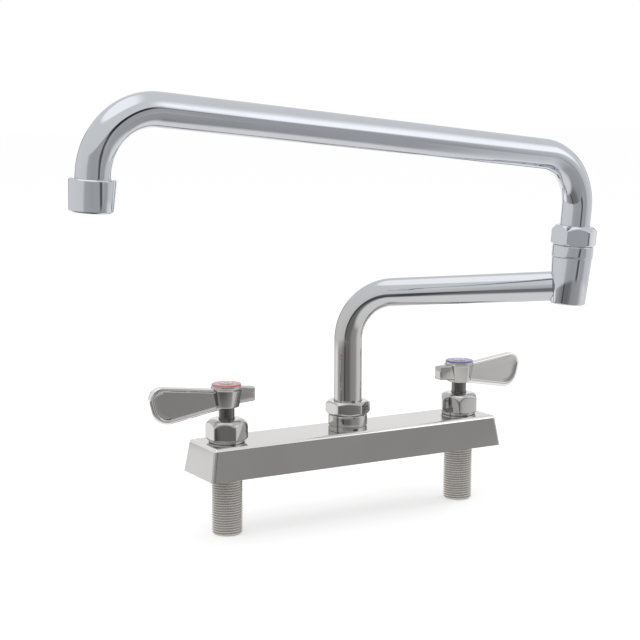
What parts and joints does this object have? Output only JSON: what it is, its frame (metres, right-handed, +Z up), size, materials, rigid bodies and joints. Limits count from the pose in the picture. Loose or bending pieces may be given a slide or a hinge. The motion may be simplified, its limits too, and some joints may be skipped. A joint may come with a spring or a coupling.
{
  "type": "deck-mount faucet",
  "caption": "Deck-mount kitchen faucet: a long low base with threaded supply shanks, paddle lever valves with hot and cold index rings, and a double-jointed swing spout with an aerator",
  "frame": {"origin": "middle of the base's underside, on the deck, on the spout's riser axis", "axes": "+Z up from the deck; +X along the base from the hot valve to the cold valve; -Y towards the user"},
  "size_m": [0.4343, 0.183, 0.3133],
  "materials": {
    "base_chrome": "polished chrome on a brass casting, warm grey",
    "nut_chrome": "polished chrome",
    "spout_chrome": "bright chrome, slightly bluish",
    "lever_chrome": "polished chrome",
    "shank_brass": "dull plated brass",
    "bare_brass": "machined brass",
    "stem_steel": "dark brushed steel",
    "screw_steel": "bright steel",
    "seal_rubber": "black seal rubber",
    "disc_ceramic": "white ceramic",
    "slip_plastic": "natural acetal",
    "flow_plastic": "pale moulded plastic",
    "hot_red": "dusty red plastic",
    "cold_blue": "dusky blue-violet plastic"
  },
  "bodies": {
    "base": {"base_body": "base_chrome", "hot_shank": "shank_brass", "hot_seat_seal": "seal_rubber", "hot_fixed_disc": "disc_ceramic", "hot_cartridge": "bare_brass", "hot_bonnet": "nut_chrome", "cold_shank": "shank_brass", "cold_seat_seal": "seal_rubber", "cold_fixed_disc": "disc_ceramic", "cold_cartridge": "bare_brass", "cold_bonnet": "nut_chrome", "spout_seat": "base_chrome", "hub_nut": "nut_chrome", "hub_washer": "slip_plastic"},
    "hot_handle": {"hot_turning_disc": "disc_ceramic", "hot_stem": "stem_steel", "hot_stem_ring": "seal_rubber", "hot_lever": "lever_chrome", "hot_index": "hot_red", "hot_screw": "screw_steel"},
    "cold_handle": {"cold_turning_disc": "disc_ceramic", "cold_stem": "stem_steel", "cold_stem_ring": "seal_rubber", "cold_lever": "lever_chrome", "cold_index": "cold_blue", "cold_screw": "screw_steel"},
    "lower_spout": {"lower_insert": "bare_brass", "lower_rings": "seal_rubber", "lower_tube": "spout_chrome", "elbow_body": "spout_chrome", "elbow_band": "nut_chrome", "elbow_nut": "nut_chrome", "elbow_washer": "slip_plastic"},
    "upper_spout": {"upper_insert": "bare_brass", "upper_rings": "seal_rubber", "upper_tube": "spout_chrome", "aerator_housing": "spout_chrome", "aerator_washer": "seal_rubber", "flow_insert": "flow_plastic"}
  },
  "joints": [
    {"name": "hot_turn", "type": "hinge", "parent": "base", "child": "hot_handle", "pos_m": [-0.1016, 0, 0.0486], "axis": [0, 0, 1], "range_deg": [0, 90]},
    {"name": "cold_turn", "type": "hinge", "parent": "base", "child": "cold_handle", "pos_m": [0.1016, 0, 0.0486], "axis": [0, 0, -1], "range_deg": [0, 90]},
    {"name": "spout_swivel", "type": "hinge", "parent": "base", "child": "lower_spout", "pos_m": [0, 0, 0.0336], "axis": [0, 0, 1], "continuous": true},
    {"name": "elbow_swivel", "type": "hinge", "parent": "lower_spout", "child": "upper_spout", "pos_m": [0.10444, -0.12446, 0.13657], "axis": [0.0471, -0.0561, 0.9973], "continuous": true}
  ]
}
